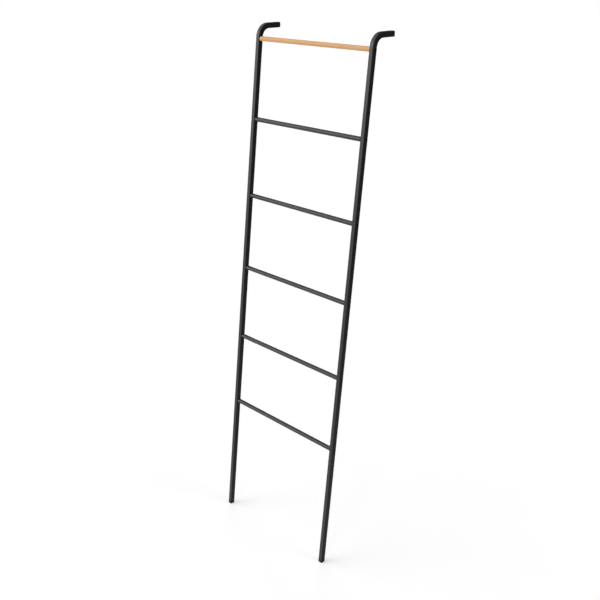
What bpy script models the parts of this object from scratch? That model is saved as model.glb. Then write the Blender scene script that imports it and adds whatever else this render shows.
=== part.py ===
"""Leaning ladder rack: two bent square-tube rails, five steel rungs and a wooden top rung.

Metres, +Z up, +X along the rungs, +Y towards the wall that the arms rest against.
The origin is on the floor, at the middle of the width and of the depth.

Each rail is one square tube, bent near its top so that a short level arm reaches the wall.
Every rung is held by two countersunk screws. A screw goes in through the outer face of a
rail, crosses the tube and ends in a threaded insert in the end of the rung. Push-in caps
close both ends of each rail: a foot on the floor and a pad against the wall.
"""

import math

import bmesh
import bpy
from mathutils import Vector

# --- Driving dimensions ----------------------------------------------------------------

HEIGHT = 1.600  # floor to the top of the arms
WIDTH = 0.454  # over the outer faces of the two rails
LEAN = math.radians(6.34)  # how far the rails lean back from upright
ARM_REACH = 0.0458  # level arm, from the end of the bend to the wall
BEND_RADIUS = 0.033  # of the bend's centreline

TUBE = 0.0155  # square tube of the rails, outside
TUBE_WALL = 0.0015
TUBE_CORNER = 0.0029  # outside corner radius of the square tube

RUNG_COUNT = 5  # steel rungs below the wooden one
FIRST_RUNG = 0.3971  # floor to the lowest rung, along the rail
RUNG_DIAMETER = 0.0136
RUNG_WALL = 0.0012
RUNG_EDGE = 0.0004  # broken edge at each end of a rung

DOWEL_DROP = 0.0057  # centre of the wooden rung below the start of the bend, along the rail
DOWEL_DIAMETER = 0.0136
DOWEL_BAND = 0.010  # turned groove, from each end of the wooden rung
GROOVE_DEPTH = 0.0004
GROOVE_WIDTH = 0.0009

CAP_LENGTH = 0.009  # what shows of a cap beyond the end of the tube
CAP_EDGE = 0.0015  # rounding of the edge that meets the floor or the wall
FOOT_PLUG = 0.016  # what goes of a foot into the tube
FOOT_LEAD_IN = 0.0008  # chamfer at the inner end of a foot's plug
PAD_TAPER = 0.0015  # inset of the tapered end of a wall pad's plug, which enters the bend

SCREW_SHANK = 0.005
SCREW_REACH = 0.013  # thread that enters the rung
SCREW_TIP = 0.0008  # chamfer of the screw's tip
HEAD_DIAMETER = 0.0092
HEAD_RIM = 0.0003  # straight rim above the cone of the head
SOCKET = 0.003  # hexagon socket, across its flats
SOCKET_DEPTH = 0.0018

INSERT_LENGTH = 0.016
INSERT_EDGE = 0.0005  # chamfer of an insert's outer edges
WOOD_INSERT = 0.008  # outside diameter of the insert in the wooden rung
BORE_SPARE = 0.004  # blind bore in the wood, beyond the insert

GAP = 0.0003  # between pieces that touch
CUT_BEYOND = 0.002  # how far a cutter runs past what it cuts

# --- Fineness of the round shapes ------------------------------------------------------

CORNER_STEPS = 3  # per corner of the square tube and its caps
BEND_STEPS = 12
EDGE_STEPS = 3  # rounded edge of a cap
RUNG_SIDES = 24
FIXING_SIDES = 18  # screws, inserts and their holes; a multiple of six for the socket

# --- Derived places --------------------------------------------------------------------

TUBE_HALF = TUBE / 2
UP_RAIL = Vector((0, math.sin(LEAN), math.cos(LEAN)))
ACROSS_RAIL = Vector((0, math.cos(LEAN), -math.sin(LEAN)))  # square to the rail, to the wall
BEND_TURN = math.pi / 2 - LEAN
BEND_START = (HEIGHT - TUBE_HALF - BEND_RADIUS * (1 - math.sin(LEAN))) / math.cos(LEAN)
BEND_CENTRE = UP_RAIL * BEND_START + ACROSS_RAIL * BEND_RADIUS

BEND_BORE = BEND_RADIUS + TUBE_HALF - TUBE_WALL  # outer wall of the bore, round the bend
PAD_TAPER_LENGTH = math.sqrt(BEND_BORE**2 - (BEND_BORE - PAD_TAPER) ** 2)
PAD_PLUG = ARM_REACH - CAP_LENGTH + PAD_TAPER_LENGTH  # fills the arm, up to the bend

RAIL_X = WIDTH / 2 - TUBE_HALF
RUNG_LENGTH = WIDTH - 2 * TUBE - 2 * GAP
RUNG_HALF = RUNG_LENGTH / 2
DOWEL_PLACE = BEND_START - DOWEL_DROP
RUNG_PITCH = (DOWEL_PLACE - FIRST_RUNG) / RUNG_COUNT
RUNG_PLACES = [FIRST_RUNG + RUNG_PITCH * number for number in range(RUNG_COUNT)]

SCREW_LENGTH = TUBE + SCREW_REACH
CLEAR_SHANK = SCREW_SHANK / 2 + GAP
CONE_CLEARANCE = GAP * math.sqrt(2)  # GAP square to the 45 degree cone, measured across
RUNG_BORE = RUNG_DIAMETER - 2 * RUNG_WALL
WOOD_BORE_DEPTH = INSERT_LENGTH + BORE_SPARE

ARM_TIP_Y = BEND_CENTRE.y + ARM_REACH
FOOT_FRONT_Y = CAP_EDGE * math.tan(LEAN) - TUBE_HALF / math.cos(LEAN)
MIDDLE_Y = (ARM_TIP_Y + FOOT_FRONT_Y) / 2


# --- Outlines: each is a list of (across, along) pairs round a closed shape --------------


def circle(radius, sides):
    """Points round a circle, starting on the first axis."""
    angles = [2 * math.pi * step / sides for step in range(sides)]
    return [(radius * math.cos(angle), radius * math.sin(angle)) for angle in angles]


def hexagon(across_flats, sides):
    """Points round a hexagon, at the same angles as the points of circle()."""
    points = []
    for step in range(sides):
        angle = 2 * math.pi * step / sides
        off_corner = (angle % (math.pi / 3)) - math.pi / 6
        radius = across_flats / 2 / math.cos(off_corner)
        points.append((radius * math.cos(angle), radius * math.sin(angle)))
    return points


def rounded_square(width, corner):
    """Points round a square whose corners are rounded."""
    points = []
    centre = width / 2 - corner
    for quarter, (side_u, side_v) in enumerate(((1, 1), (-1, 1), (-1, -1), (1, -1))):
        for step in range(CORNER_STEPS + 1):
            angle = math.pi / 2 * (quarter + step / CORNER_STEPS)
            points.append((
                side_u * centre + corner * math.cos(angle),
                side_v * centre + corner * math.sin(angle),
            ))
    return points


def tube_outline(inset):
    """The square tube's outside outline, moved inwards by inset."""
    return rounded_square(TUBE - 2 * inset, max(TUBE_CORNER - inset, GAP))


def place(outline, origin, across, along):
    """Put an outline in space, on the plane of two directions."""
    return [origin + across * u + along * v for u, v in outline]


# --- Meshes and objects ----------------------------------------------------------------


def loft(name, rings, hollow=False):
    """Skin rings of equal length; join the last to the first if hollow, else cap both."""
    shape = bmesh.new()
    loops = [[shape.verts.new(point) for point in ring] for ring in rings]
    pairs = list(zip(loops, loops[1:]))
    if hollow:
        pairs.append((loops[-1], loops[0]))
    else:
        shape.faces.new(loops[0])
        shape.faces.new(loops[-1])
    for lower, upper in pairs:
        for index, vertex in enumerate(lower):
            following = (index + 1) % len(lower)
            shape.faces.new((vertex, lower[following], upper[following], upper[index]))
    bmesh.ops.recalc_face_normals(shape, faces=shape.faces)
    mesh = bpy.data.meshes.new(name)
    shape.to_mesh(mesh)
    shape.free()
    smooth(mesh)
    return mesh


def smooth(mesh):
    """Shade round surfaces smooth and keep the real edges crisp."""
    mesh.shade_smooth()
    mesh.set_sharp_from_angle(angle=math.radians(35))


def turned(name, profile, sides, hollow=False):
    """A turned piece along +X, from (x, radius) pairs or (x, outline) pairs."""
    rings = []
    for x, size in profile:
        outline = size if isinstance(size, list) else circle(size, sides)
        rings.append(place(outline, Vector((x, 0, 0)), Vector((0, 1, 0)), Vector((0, 0, 1))))
    return loft(name, rings, hollow)


def coat(mesh, name, colour, metallic, roughness):
    """Give a mesh a Principled material of its own, and hand the mesh back."""
    material = bpy.data.materials.new(name)
    material.use_nodes = True
    shader = material.node_tree.nodes["Principled BSDF"]
    shader.inputs["Base Color"].default_value = (*colour, 1)
    shader.inputs["Metallic"].default_value = metallic
    shader.inputs["Roughness"].default_value = roughness
    material.diffuse_color = (*colour, 1)
    mesh.materials.append(material)
    return mesh


def add(name, mesh, ladder, location=(0, 0, 0), turn=0.0):
    """Place one named piece; turn is about the upright axis."""
    piece = bpy.data.objects.new(name, mesh)
    bpy.context.scene.collection.objects.link(piece)
    piece.parent = ladder
    piece.location = location
    piece.rotation_euler = (0, 0, turn)
    return piece


# --- The rails -------------------------------------------------------------------------


def rail_stations():
    """Centre and cross direction of the tube at each ring, from the foot to the arm's end."""
    stations = [(UP_RAIL * CAP_LENGTH, ACROSS_RAIL)]
    for step in range(BEND_STEPS + 1):
        angle = LEAN + BEND_TURN * step / BEND_STEPS
        outward = Vector((0, -math.cos(angle), math.sin(angle)))
        stations.append((BEND_CENTRE + outward * BEND_RADIUS, -outward))
    arm_end = Vector((0, ARM_TIP_Y - CAP_LENGTH, BEND_CENTRE.z + BEND_RADIUS))
    stations.append((arm_end, Vector((0, 0, -1))))
    return stations


def rail_rings(inset):
    """The tube's rings at every station: its outside, or its inside where inset is the wall."""
    across = Vector((1, 0, 0))
    return [place(tube_outline(inset), centre, across, along) for centre, along in rail_stations()]


def screw_hole(ladder, side, place_on_rail):
    """A cutter for one screw: a countersink in the outer wall and a hole through both."""
    wide = HEAD_DIAMETER / 2 + CONE_CLEARANCE
    cone_start = TUBE_HALF - HEAD_RIM
    cone_end = cone_start - (wide - CLEAR_SHANK)
    profile = [
        (-TUBE_HALF - CUT_BEYOND, CLEAR_SHANK),
        (cone_end, CLEAR_SHANK),
        (cone_start, wide),
        (TUBE_HALF + CUT_BEYOND, wide),
    ]
    mesh = turned("screw_hole", profile, FIXING_SIDES)
    location = UP_RAIL * place_on_rail + Vector((side * RAIL_X, 0, 0))
    cutter = add("screw_hole", mesh, ladder, location, 0 if side > 0 else math.pi)
    cutter.hide_render = True
    cutter.display_type = "WIRE"
    return cutter


def make_rail(name, side, ladder):
    """One bent rail, hollow and open at both ends, with a hole for each screw."""
    rings = rail_rings(0) + rail_rings(TUBE_WALL)[::-1]
    tube = coat(loft(name, rings, hollow=True), name, (0.018, 0.018, 0.019), 0.0, 0.42)
    rail = add(name, tube, ladder, (side * RAIL_X, 0, 0))
    for place_on_rail in (*RUNG_PLACES, DOWEL_PLACE):
        hole = rail.modifiers.new("screw hole", "BOOLEAN")
        hole.operation = "DIFFERENCE"
        hole.solver = "EXACT"
        hole.object = screw_hole(ladder, side, place_on_rail)
    return rail


# --- The rungs -------------------------------------------------------------------------


def rung_mesh():
    """A steel tube along X with broken edges at its ends."""
    outside = RUNG_DIAMETER / 2
    bore = RUNG_BORE / 2
    profile = [
        (-RUNG_HALF, outside - RUNG_EDGE),
        (-RUNG_HALF + RUNG_EDGE, outside),
        (RUNG_HALF - RUNG_EDGE, outside),
        (RUNG_HALF, outside - RUNG_EDGE),
        (RUNG_HALF, bore),
        (-RUNG_HALF, bore),
    ]
    return turned("steel_rung", profile, RUNG_SIDES, hollow=True)


def dowel_mesh():
    """The wooden rung: a fine groove near each end and a blind bore for its insert."""
    outside = DOWEL_DIAMETER / 2
    bore = WOOD_INSERT / 2 + GAP
    groove = RUNG_HALF - DOWEL_BAND
    half = [
        (RUNG_HALF - WOOD_BORE_DEPTH, bore),
        (RUNG_HALF, bore),
        (RUNG_HALF, outside - RUNG_EDGE),
        (RUNG_HALF - RUNG_EDGE, outside),
        (groove + GROOVE_WIDTH / 2, outside),
        (groove, outside - GROOVE_DEPTH),
        (groove - GROOVE_WIDTH / 2, outside),
    ]
    other_half = [(-x, radius) for x, radius in reversed(half)]
    return turned("wooden_rung", half + other_half, RUNG_SIDES)


# --- Fixings: each points along +X, with its outer end at the origin ----------------------


def insert_mesh(name, diameter):
    """A threaded insert: a turned sleeve with chamfered edges."""
    outside = diameter / 2
    profile = [
        (0, outside - INSERT_EDGE),
        (INSERT_EDGE, outside),
        (INSERT_LENGTH - INSERT_EDGE, outside),
        (INSERT_LENGTH, outside - INSERT_EDGE),
        (INSERT_LENGTH, CLEAR_SHANK),
        (0, CLEAR_SHANK),
    ]
    return turned(name, profile, FIXING_SIDES, hollow=True)


def screw_mesh():
    """A countersunk screw with a hexagon socket."""
    socket = hexagon(SOCKET, FIXING_SIDES)
    head = HEAD_DIAMETER / 2
    shank = SCREW_SHANK / 2
    profile = [
        (SOCKET_DEPTH, socket),
        (0, socket),
        (0, head),
        (HEAD_RIM, head),
        (HEAD_RIM + head - shank, shank),
        (SCREW_LENGTH - SCREW_TIP, shank),
        (SCREW_LENGTH, shank - SCREW_TIP),
    ]
    return turned("countersunk_screw", profile, FIXING_SIDES)


def fit_rung(name, rung, insert, screw, place_on_rail, ladder):
    """One rung with the insert and the screw at each of its ends."""
    centre = UP_RAIL * place_on_rail
    add(name, rung, ladder, centre)
    for end, side in (("left", -1), ("right", 1)):
        inwards = math.pi if side > 0 else 0
        rung_end = centre + Vector((side * RUNG_HALF, 0, 0))
        rail_face = centre + Vector((side * WIDTH / 2, 0, 0))
        add(f"{name}_insert_{end}", insert, ladder, rung_end, inwards)
        add(f"{name}_screw_{end}", screw, ladder, rail_face, inwards)


# --- The caps --------------------------------------------------------------------------


def cap_edge_steps():
    """Inset from the cap's side and height above its flat face, round the rounded edge."""
    for step in range(EDGE_STEPS + 1):
        angle = math.pi / 2 * step / EDGE_STEPS
        yield CAP_EDGE * (1 - math.sin(angle)), CAP_EDGE * (1 - math.cos(angle))


def plug_rings(end, inwards, across, along, length, taper, taper_length):
    """The shoulder against the tube's end and the plug inside it, tapered at its inner end."""
    plug = TUBE_WALL + GAP
    steps = (
        (0, -GAP),
        (plug, -GAP),
        (plug, length - taper_length),
        (plug + taper, length),
    )
    return [place(tube_outline(inset), end + inwards * depth, across, along)
            for inset, depth in steps]


def foot_mesh():
    """A foot cap: a flat level sole, a rounded edge and a plug that leans with the rail."""
    across = Vector((1, 0, 0))
    level = Vector((0, 1 / math.cos(LEAN), 0))  # a level cut stretches the leaning outline
    rings = []
    for inset, height in cap_edge_steps():
        centre = UP_RAIL * (height / math.cos(LEAN))
        rings.append(place(tube_outline(inset), centre, across, level))
    rings += plug_rings(UP_RAIL * CAP_LENGTH, UP_RAIL, across, ACROSS_RAIL,
                        FOOT_PLUG, FOOT_LEAD_IN, FOOT_LEAD_IN)
    return loft("foot_cap", rings)


def wall_pad_mesh():
    """A pad for the end of an arm: a flat upright face, a rounded edge and a long level plug.

    The plug fills the arm, so that the tube isn't crushed where the ladder leans on it.
    """
    across = Vector((1, 0, 0))
    down = Vector((0, 0, -1))
    back = Vector((0, -1, 0))
    rings = [place(tube_outline(inset), back * height, across, down)
             for inset, height in cap_edge_steps()]
    rings += plug_rings(back * CAP_LENGTH, back, across, down,
                        PAD_PLUG, PAD_TAPER, PAD_TAPER_LENGTH)
    return loft("wall_pad", rings)


# --- Assembly --------------------------------------------------------------------------


def main():
    for leftover in list(bpy.data.objects):
        bpy.data.objects.remove(leftover, do_unlink=True)

    ladder = bpy.data.objects.new("ladder", None)
    bpy.context.scene.collection.objects.link(ladder)
    ladder.location = (0, -MIDDLE_Y, 0)

    make_rail("left_rail", -1, ladder)
    make_rail("right_rail", 1, ladder)

    foot = coat(foot_mesh(), "black rubber, foot", (0.012, 0.012, 0.013), 0.0, 0.65)
    pad = coat(wall_pad_mesh(), "black rubber, wall pad", (0.012, 0.012, 0.013), 0.0, 0.65)
    arm_tip = Vector((0, ARM_TIP_Y, BEND_CENTRE.z + BEND_RADIUS))
    for side_name, side in (("left", -1), ("right", 1)):
        sideways = Vector((side * RAIL_X, 0, 0))
        add(f"{side_name}_foot", foot, ladder, sideways)
        add(f"{side_name}_wall_pad", pad, ladder, arm_tip + sideways)

    screw = coat(screw_mesh(), "black oxide", (0.025, 0.025, 0.027), 1.0, 0.38)
    rung = coat(rung_mesh(), "black powder coat, rung", (0.020, 0.020, 0.021), 0.0, 0.42)
    plug = coat(insert_mesh("rung_insert", RUNG_BORE - 2 * GAP), "zinc plate",
                (0.62, 0.63, 0.65), 1.0, 0.35)
    for number, place_on_rail in enumerate(RUNG_PLACES, start=1):
        fit_rung(f"rung_{number}", rung, plug, screw, place_on_rail, ladder)

    dowel = coat(dowel_mesh(), "oiled light wood", (0.62, 0.38, 0.18), 0.0, 0.50)
    sleeve = coat(insert_mesh("wood_insert", WOOD_INSERT), "brass", (0.70, 0.52, 0.22), 1.0, 0.35)
    fit_rung("wooden_rung", dowel, sleeve, screw, DOWEL_PLACE, ladder)


main()
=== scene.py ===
"""Looks of a leaning ladder rack: two bent steel rails, five steel rungs and a wooden one.

Metres, +Z up, +X along the rungs, +Y towards the wall that the arms rest against. Every
piece takes its place from the boxes of the frame's nodes and rides on the root body.
"""

import logging
import math
from abc import ABC, abstractmethod
from collections.abc import Callable, Iterator
from dataclasses import dataclass
from enum import Enum
from typing import ClassVar

import bmesh
import bpy
from mathutils import Matrix, Vector

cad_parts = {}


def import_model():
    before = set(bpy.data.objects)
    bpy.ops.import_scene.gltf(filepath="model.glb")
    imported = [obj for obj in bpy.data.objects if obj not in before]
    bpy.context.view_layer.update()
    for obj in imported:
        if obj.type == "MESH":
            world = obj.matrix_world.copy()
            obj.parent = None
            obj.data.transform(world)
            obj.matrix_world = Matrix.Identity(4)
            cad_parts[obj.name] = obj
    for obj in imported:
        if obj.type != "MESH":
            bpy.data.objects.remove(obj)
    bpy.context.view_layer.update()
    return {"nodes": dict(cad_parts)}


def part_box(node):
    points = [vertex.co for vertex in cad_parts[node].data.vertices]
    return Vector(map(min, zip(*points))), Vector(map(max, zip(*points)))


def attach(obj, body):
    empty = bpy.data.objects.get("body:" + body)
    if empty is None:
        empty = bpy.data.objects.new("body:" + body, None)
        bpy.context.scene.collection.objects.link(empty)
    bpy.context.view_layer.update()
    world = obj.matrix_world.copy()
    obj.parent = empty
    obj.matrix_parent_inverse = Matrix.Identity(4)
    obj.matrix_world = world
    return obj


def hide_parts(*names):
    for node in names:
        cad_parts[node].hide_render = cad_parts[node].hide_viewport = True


Outline = list[tuple[float, float]]
Ring = list[Vector]
Range = tuple[float, float]
Colour = tuple[float, float, float]
Direction = tuple[float, float, float]
Socket = bpy.types.NodeSocket
Sockets = bpy.types.NodeOutputs
Value = float | tuple | Socket

BODY = "root"
MM = 0.001
ACROSS = Vector((1, 0, 0))
STEEL_RUNGS = tuple(f"rung_{number}" for number in range(1, 6))
RUNGS = (*STEEL_RUNGS, "wooden_rung")
WHITE = (1, 1, 1)
# Edges sharper than this are shaded as edges.
FLAT_ANGLE = math.radians(34)
# The part of the handling mask that changes a finish's gloss.
HELD_SPAN = (0.2, 0.8)
log = logging.getLogger("ladder_rack")


class Side(Enum):
    """The two sides of the ladder, seen from the front."""

    LEFT = -1
    RIGHT = 1

    @property
    def word(self) -> str:
        """The side's word in the names of nodes and pieces."""
        return self.name.lower()


class Slot(Enum):
    """The material slots of the record."""

    STEEL = "powder_coated_steel"
    WOOD = "oiled_wood"
    RUBBER = "black_rubber"
    OXIDE = "black_oxide_steel"
    ZINC = "zinc_plated_steel"
    BRASS = "brass"


# --- Outlines and meshes -------------------------------------------------------


def circle(radius: float, sides: int) -> Outline:
    """Points round a circle.

    Args:
        radius: The circle's radius.
        sides: How many points.

    Returns:
        The points, starting on the first axis.
    """
    turns = [2 * math.pi * step / sides for step in range(sides)]
    return [(radius * math.cos(turn), radius * math.sin(turn)) for turn in turns]


def hexagon(across_flats: float, sides: int) -> Outline:
    """Points round a hexagon, at the same angles as the points of a circle.

    Args:
        across_flats: The hexagon's width over two opposite flats.
        sides: How many points; a multiple of six.

    Returns:
        The points, starting on the first axis.
    """
    points = []
    for step in range(sides):
        turn = 2 * math.pi * step / sides
        radius = across_flats / 2 / math.cos(turn % (math.pi / 3) - math.pi / 6)
        points.append((radius * math.cos(turn), radius * math.sin(turn)))
    return points


def rounded_square(width: float, corner: float, steps: int) -> Outline:
    """Points round a square with rounded corners.

    Args:
        width: Over two opposite sides.
        corner: Radius of the corners.
        steps: Edges round each corner.

    Returns:
        The points, corner by corner.
    """
    points = []
    centre = width / 2 - corner
    for quarter, (side_u, side_v) in enumerate(((1, 1), (-1, 1), (-1, -1), (1, -1))):
        for step in range(steps + 1):
            turn = math.pi / 2 * (quarter + step / steps)
            points.append((
                side_u * centre + corner * math.cos(turn),
                side_v * centre + corner * math.sin(turn),
            ))
    return points


def place(outline: Outline, origin: Vector, across: Vector, along: Vector) -> Ring:
    """Put an outline in space, on the plane of two directions."""
    return [origin + across * u + along * v for u, v in outline]


def skin(name: str, rings: list[Ring], hollow: bool = False) -> bpy.types.Mesh:
    """Skin rings that all have the same number of points.

    Args:
        name: The mesh's name.
        rings: The rings in order.
        hollow: Joins the last ring to the first; otherwise both are closed with a face.

    Returns:
        One closed mesh with outward faces.
    """
    shape = bmesh.new()
    loops = [[shape.verts.new(point) for point in ring] for ring in rings]
    pairs = list(zip(loops, loops[1:]))
    if hollow:
        pairs.append((loops[-1], loops[0]))
    else:
        shape.faces.new(loops[0])
        shape.faces.new(loops[-1])
    for lower, upper in pairs:
        for index, vertex in enumerate(lower):
            following = (index + 1) % len(lower)
            shape.faces.new((vertex, lower[following], upper[following], upper[index]))
    bmesh.ops.recalc_face_normals(shape, faces=shape.faces)
    mesh = bpy.data.meshes.new(name)
    shape.to_mesh(mesh)
    shape.free()
    return mesh


def turned(name: str, profile: list, sides: int, hollow: bool = False) -> bpy.types.Mesh:
    """A turned piece along +X.

    Args:
        name: The mesh's name.
        profile: (x, radius) or (x, outline) pairs, in order along the surface.
        sides: How many points go round.
        hollow: Joins the end of the profile to its start, for a tube.

    Returns:
        The mesh.
    """
    rings = []
    for x, size in profile:
        outline = size if isinstance(size, list) else circle(size, sides)
        rings.append(place(outline, ACROSS * x, Vector((0, 1, 0)), Vector((0, 0, 1))))
    return skin(name, rings, hollow)


def mark(mesh: bpy.types.Mesh, name: str, amount: Callable[[Vector], float]) -> None:
    """Store a number at every vertex, for the finishes to read.

    Args:
        mesh: The mesh.
        name: The attribute's name.
        amount: Gives the number for a place on the surface.
    """
    layer = mesh.attributes.new(name, "FLOAT", "POINT")
    for vertex, entry in zip(mesh.vertices, layer.data):
        entry.value = amount(vertex.co)


def spread(start: float, end: float, pitch: float) -> list[float]:
    """Evenly spaced values from start to end, no further apart than pitch."""
    count = max(1, math.ceil((end - start) / pitch))
    return [start + (end - start) * step / count for step in range(count + 1)]


def middle(node: str) -> Vector:
    """The centre of a frame node's box."""
    low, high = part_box(node)
    return (low + high) / 2


@dataclass(frozen=True)
class Piece:
    """One shown piece and what it stands for.

    Attributes:
        name: The piece's name.
        node: The frame node that it replaces.
        slot: The record's material slot.
    """

    name: str
    node: str
    slot: Slot

    def show(self, mesh: bpy.types.Mesh, material: bpy.types.Material,
             matrix: Matrix | None = None) -> None:
        """Put the piece in the scene, shade it and tie it to the frame.

        Args:
            mesh: Its mesh.
            material: Its finish.
            matrix: Its place, where the mesh isn't already in place.
        """
        if not mesh.materials:
            mesh.materials.append(material)
            mesh.shade_smooth()
            mesh.set_sharp_from_angle(angle=FLAT_ANGLE)
        shown = bpy.data.objects.new(self.name, mesh)
        bpy.context.scene.collection.objects.link(shown)
        if matrix is not None:
            shown.matrix_world = matrix
        level = shown.modifiers.new("flat faces stay flat", "WEIGHTED_NORMAL")
        level.mode = "FACE_AREA_WITH_ANGLE"
        level.keep_sharp = True
        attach(shown, BODY)
        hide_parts(self.node)
        log.info("%s: %d faces, %s", self.name, len(mesh.polygons), self.slot.value)


# --- Nodes ---------------------------------------------------------------------


class Graph:
    """Makes and joins the nodes of one material, world or group."""

    def __init__(self, tree: bpy.types.NodeTree) -> None:
        """Work on this tree."""
        self.tree = tree

    def feed(self, socket: Socket, value: Value) -> None:
        """Join a socket to another, or give it a value of its own.

        Args:
            socket: The socket.
            value: Another socket, or a number, a place or a colour.
        """
        if isinstance(value, Socket):
            self.tree.links.new(value, socket)
        elif socket.type == "RGBA":
            socket.default_value = (*value, 1)
        else:
            socket.default_value = value

    def node(self, kind: str, values: dict | None = None,
             **settings: object) -> bpy.types.Node:
        """Add a node.

        Args:
            kind: Its type, without the usual first word for shader nodes.
            values: What goes into its sockets, by name or number.
            **settings: Its own settings.

        Returns:
            The node.
        """
        prefix = "" if kind.startswith("NodeGroup") else "ShaderNode"
        made = self.tree.nodes.new(prefix + kind)
        for name, value in settings.items():
            setattr(made, name, value)
        for key, value in (values or {}).items():
            self.feed(made.inputs[key], value)
        return made

    def math(self, operation: str, first: Value, second: Value,
             clamp: bool = False) -> Socket:
        """The result of an operation on two values."""
        return self.node("Math", {0: first, 1: second}, operation=operation,
                         use_clamp=clamp).outputs[0]

    def plus(self, first: Value, second: Value, clamp: bool = False) -> Socket:
        """The sum of two values."""
        return self.math("ADD", first, second, clamp)

    def times(self, first: Value, second: Value, clamp: bool = False) -> Socket:
        """The product of two values."""
        return self.math("MULTIPLY", first, second, clamp)

    def mix(self, share: Value, first: Value, second: Value,
            blend: str = "MIX") -> Socket:
        """Two colours mixed by a share."""
        return self.node("Mix", {0: share, 6: first, 7: second}, data_type="RGBA",
                         blend_type=blend).outputs[2]

    def ramp(self, value: Value, span: Range = (0.0, 1.0),
             result: Range = (0.0, 1.0), kind: str = "LINEAR") -> Socket:
        """A value moved from one range to another.

        Args:
            value: The value.
            span: The lowest and the highest value that count.
            result: What these two become.
            kind: How it goes from one to the other.

        Returns:
            The result's socket.
        """
        values = {"Value": value, "From Min": span[0], "From Max": span[1],
                  "To Min": result[0], "To Max": result[1]}
        return self.node("MapRange", values, interpolation_type=kind).outputs["Result"]

    def ease(self, value: Value, span: Range, result: Range = (0.0, 1.0)) -> Socket:
        """A value moved from one range to another, eased in and out."""
        return self.ramp(value, span, result, "SMOOTHSTEP")

    def noise(self, where: Value, scale: Value, detail: float = 2.0,
              roughness: float = 0.5) -> Socket:
        """Cloudy noise, from 0 to 1."""
        values = {"Vector": where, "Scale": scale, "Detail": detail,
                  "Roughness": roughness}
        return self.node("TexNoise", values).outputs["Fac"]

    def stretch(self, where: Value, scale: tuple, shift: tuple = (0, 0, 0)) -> Socket:
        """Coordinates that are scaled and moved."""
        values = {"Vector": where, "Scale": scale, "Location": shift}
        return self.node("Mapping", values).outputs["Vector"]

    def own(self, name: str) -> Socket:
        """A number stored in the mesh."""
        return self.node("Attribute", attribute_name=name).outputs["Fac"]

    def bump(self, height: Value, distance: float) -> Socket:
        """A normal from a height."""
        return self.node("Bump", {"Height": height, "Distance": distance}).outputs["Normal"]


class Effect(ABC):
    """A look that finishes share: one node group with named sockets, built once."""

    NAME: ClassVar[str]
    INPUTS: ClassVar[dict[str, float]]
    OUTPUTS: ClassVar[tuple[str, ...]]

    @classmethod
    @abstractmethod
    def draw(cls, graph: Graph, given: Sockets) -> dict[str, Socket]:
        """Build the nodes inside the group and say which socket is each output."""

    @classmethod
    def group(cls) -> bpy.types.NodeTree:
        """The effect's node group, built at its first use.

        Returns:
            The group's tree.
        """
        if cls.NAME in bpy.data.node_groups:
            return bpy.data.node_groups[cls.NAME]
        tree = bpy.data.node_groups.new(cls.NAME, "ShaderNodeTree")
        face = tree.interface
        face.new_socket(name="Vector", in_out="INPUT", socket_type="NodeSocketVector")
        for name, usual in cls.INPUTS.items():
            socket = face.new_socket(name=name, in_out="INPUT",
                                     socket_type="NodeSocketFloat")
            socket.default_value = usual
        for name in cls.OUTPUTS:
            face.new_socket(name=name, in_out="OUTPUT", socket_type="NodeSocketFloat")
        graph = Graph(tree)
        found = cls.draw(graph, graph.node("NodeGroupInput").outputs)
        graph.node("NodeGroupOutput", found)
        return tree

    @classmethod
    def add(cls, graph: Graph, where: Value, **values: Value) -> Sockets:
        """Put the effect in a material.

        Args:
            graph: The material's nodes.
            where: The coordinates that it is drawn on.
            **values: This material's own values.

        Returns:
            The group's outputs, by name.
        """
        made = graph.node("Group", node_tree=cls.group())
        for name, value in {"Vector": where, **values}.items():
            graph.feed(made.inputs[name], value)
        return made.outputs


class FineGrain(Effect):
    """The pebbled surface of a cured powder coat or of moulded rubber."""

    NAME = "fine grain"
    INPUTS = {"Scale": 900.0, "Pebble": 0.6}
    OUTPUTS = ("Height", "Speckle")
    PEBBLE_SCALE = 2.6
    PEBBLE_TOP = (0.05, 0.75)
    POINT_SCALE = 1.7
    POINT_SPAN = (0.66, 0.80)

    @classmethod
    def draw(cls, graph: Graph, given: Sockets) -> dict[str, Socket]:
        """Pebbles over a slower swell, with rare bright points.

        Args:
            graph: The group's nodes.
            given: The group's inputs.

        Returns:
            The height and the bright points.
        """
        where, fine = given["Vector"], graph.times(given["Scale"], cls.PEBBLE_SCALE)
        swell = graph.noise(where, given["Scale"], detail=2.0, roughness=0.45)
        pebbles = graph.node("TexVoronoi", {"Vector": where, "Scale": fine},
                             feature="SMOOTH_F1").outputs["Distance"]
        raised = graph.times(graph.ease(pebbles, cls.PEBBLE_TOP, (1.0, 0.0)),
                             given["Pebble"])
        points = graph.noise(where, graph.times(fine, cls.POINT_SCALE), detail=0.0)
        return {"Height": graph.plus(swell, raised),
                "Speckle": graph.ease(points, cls.POINT_SPAN)}


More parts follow.
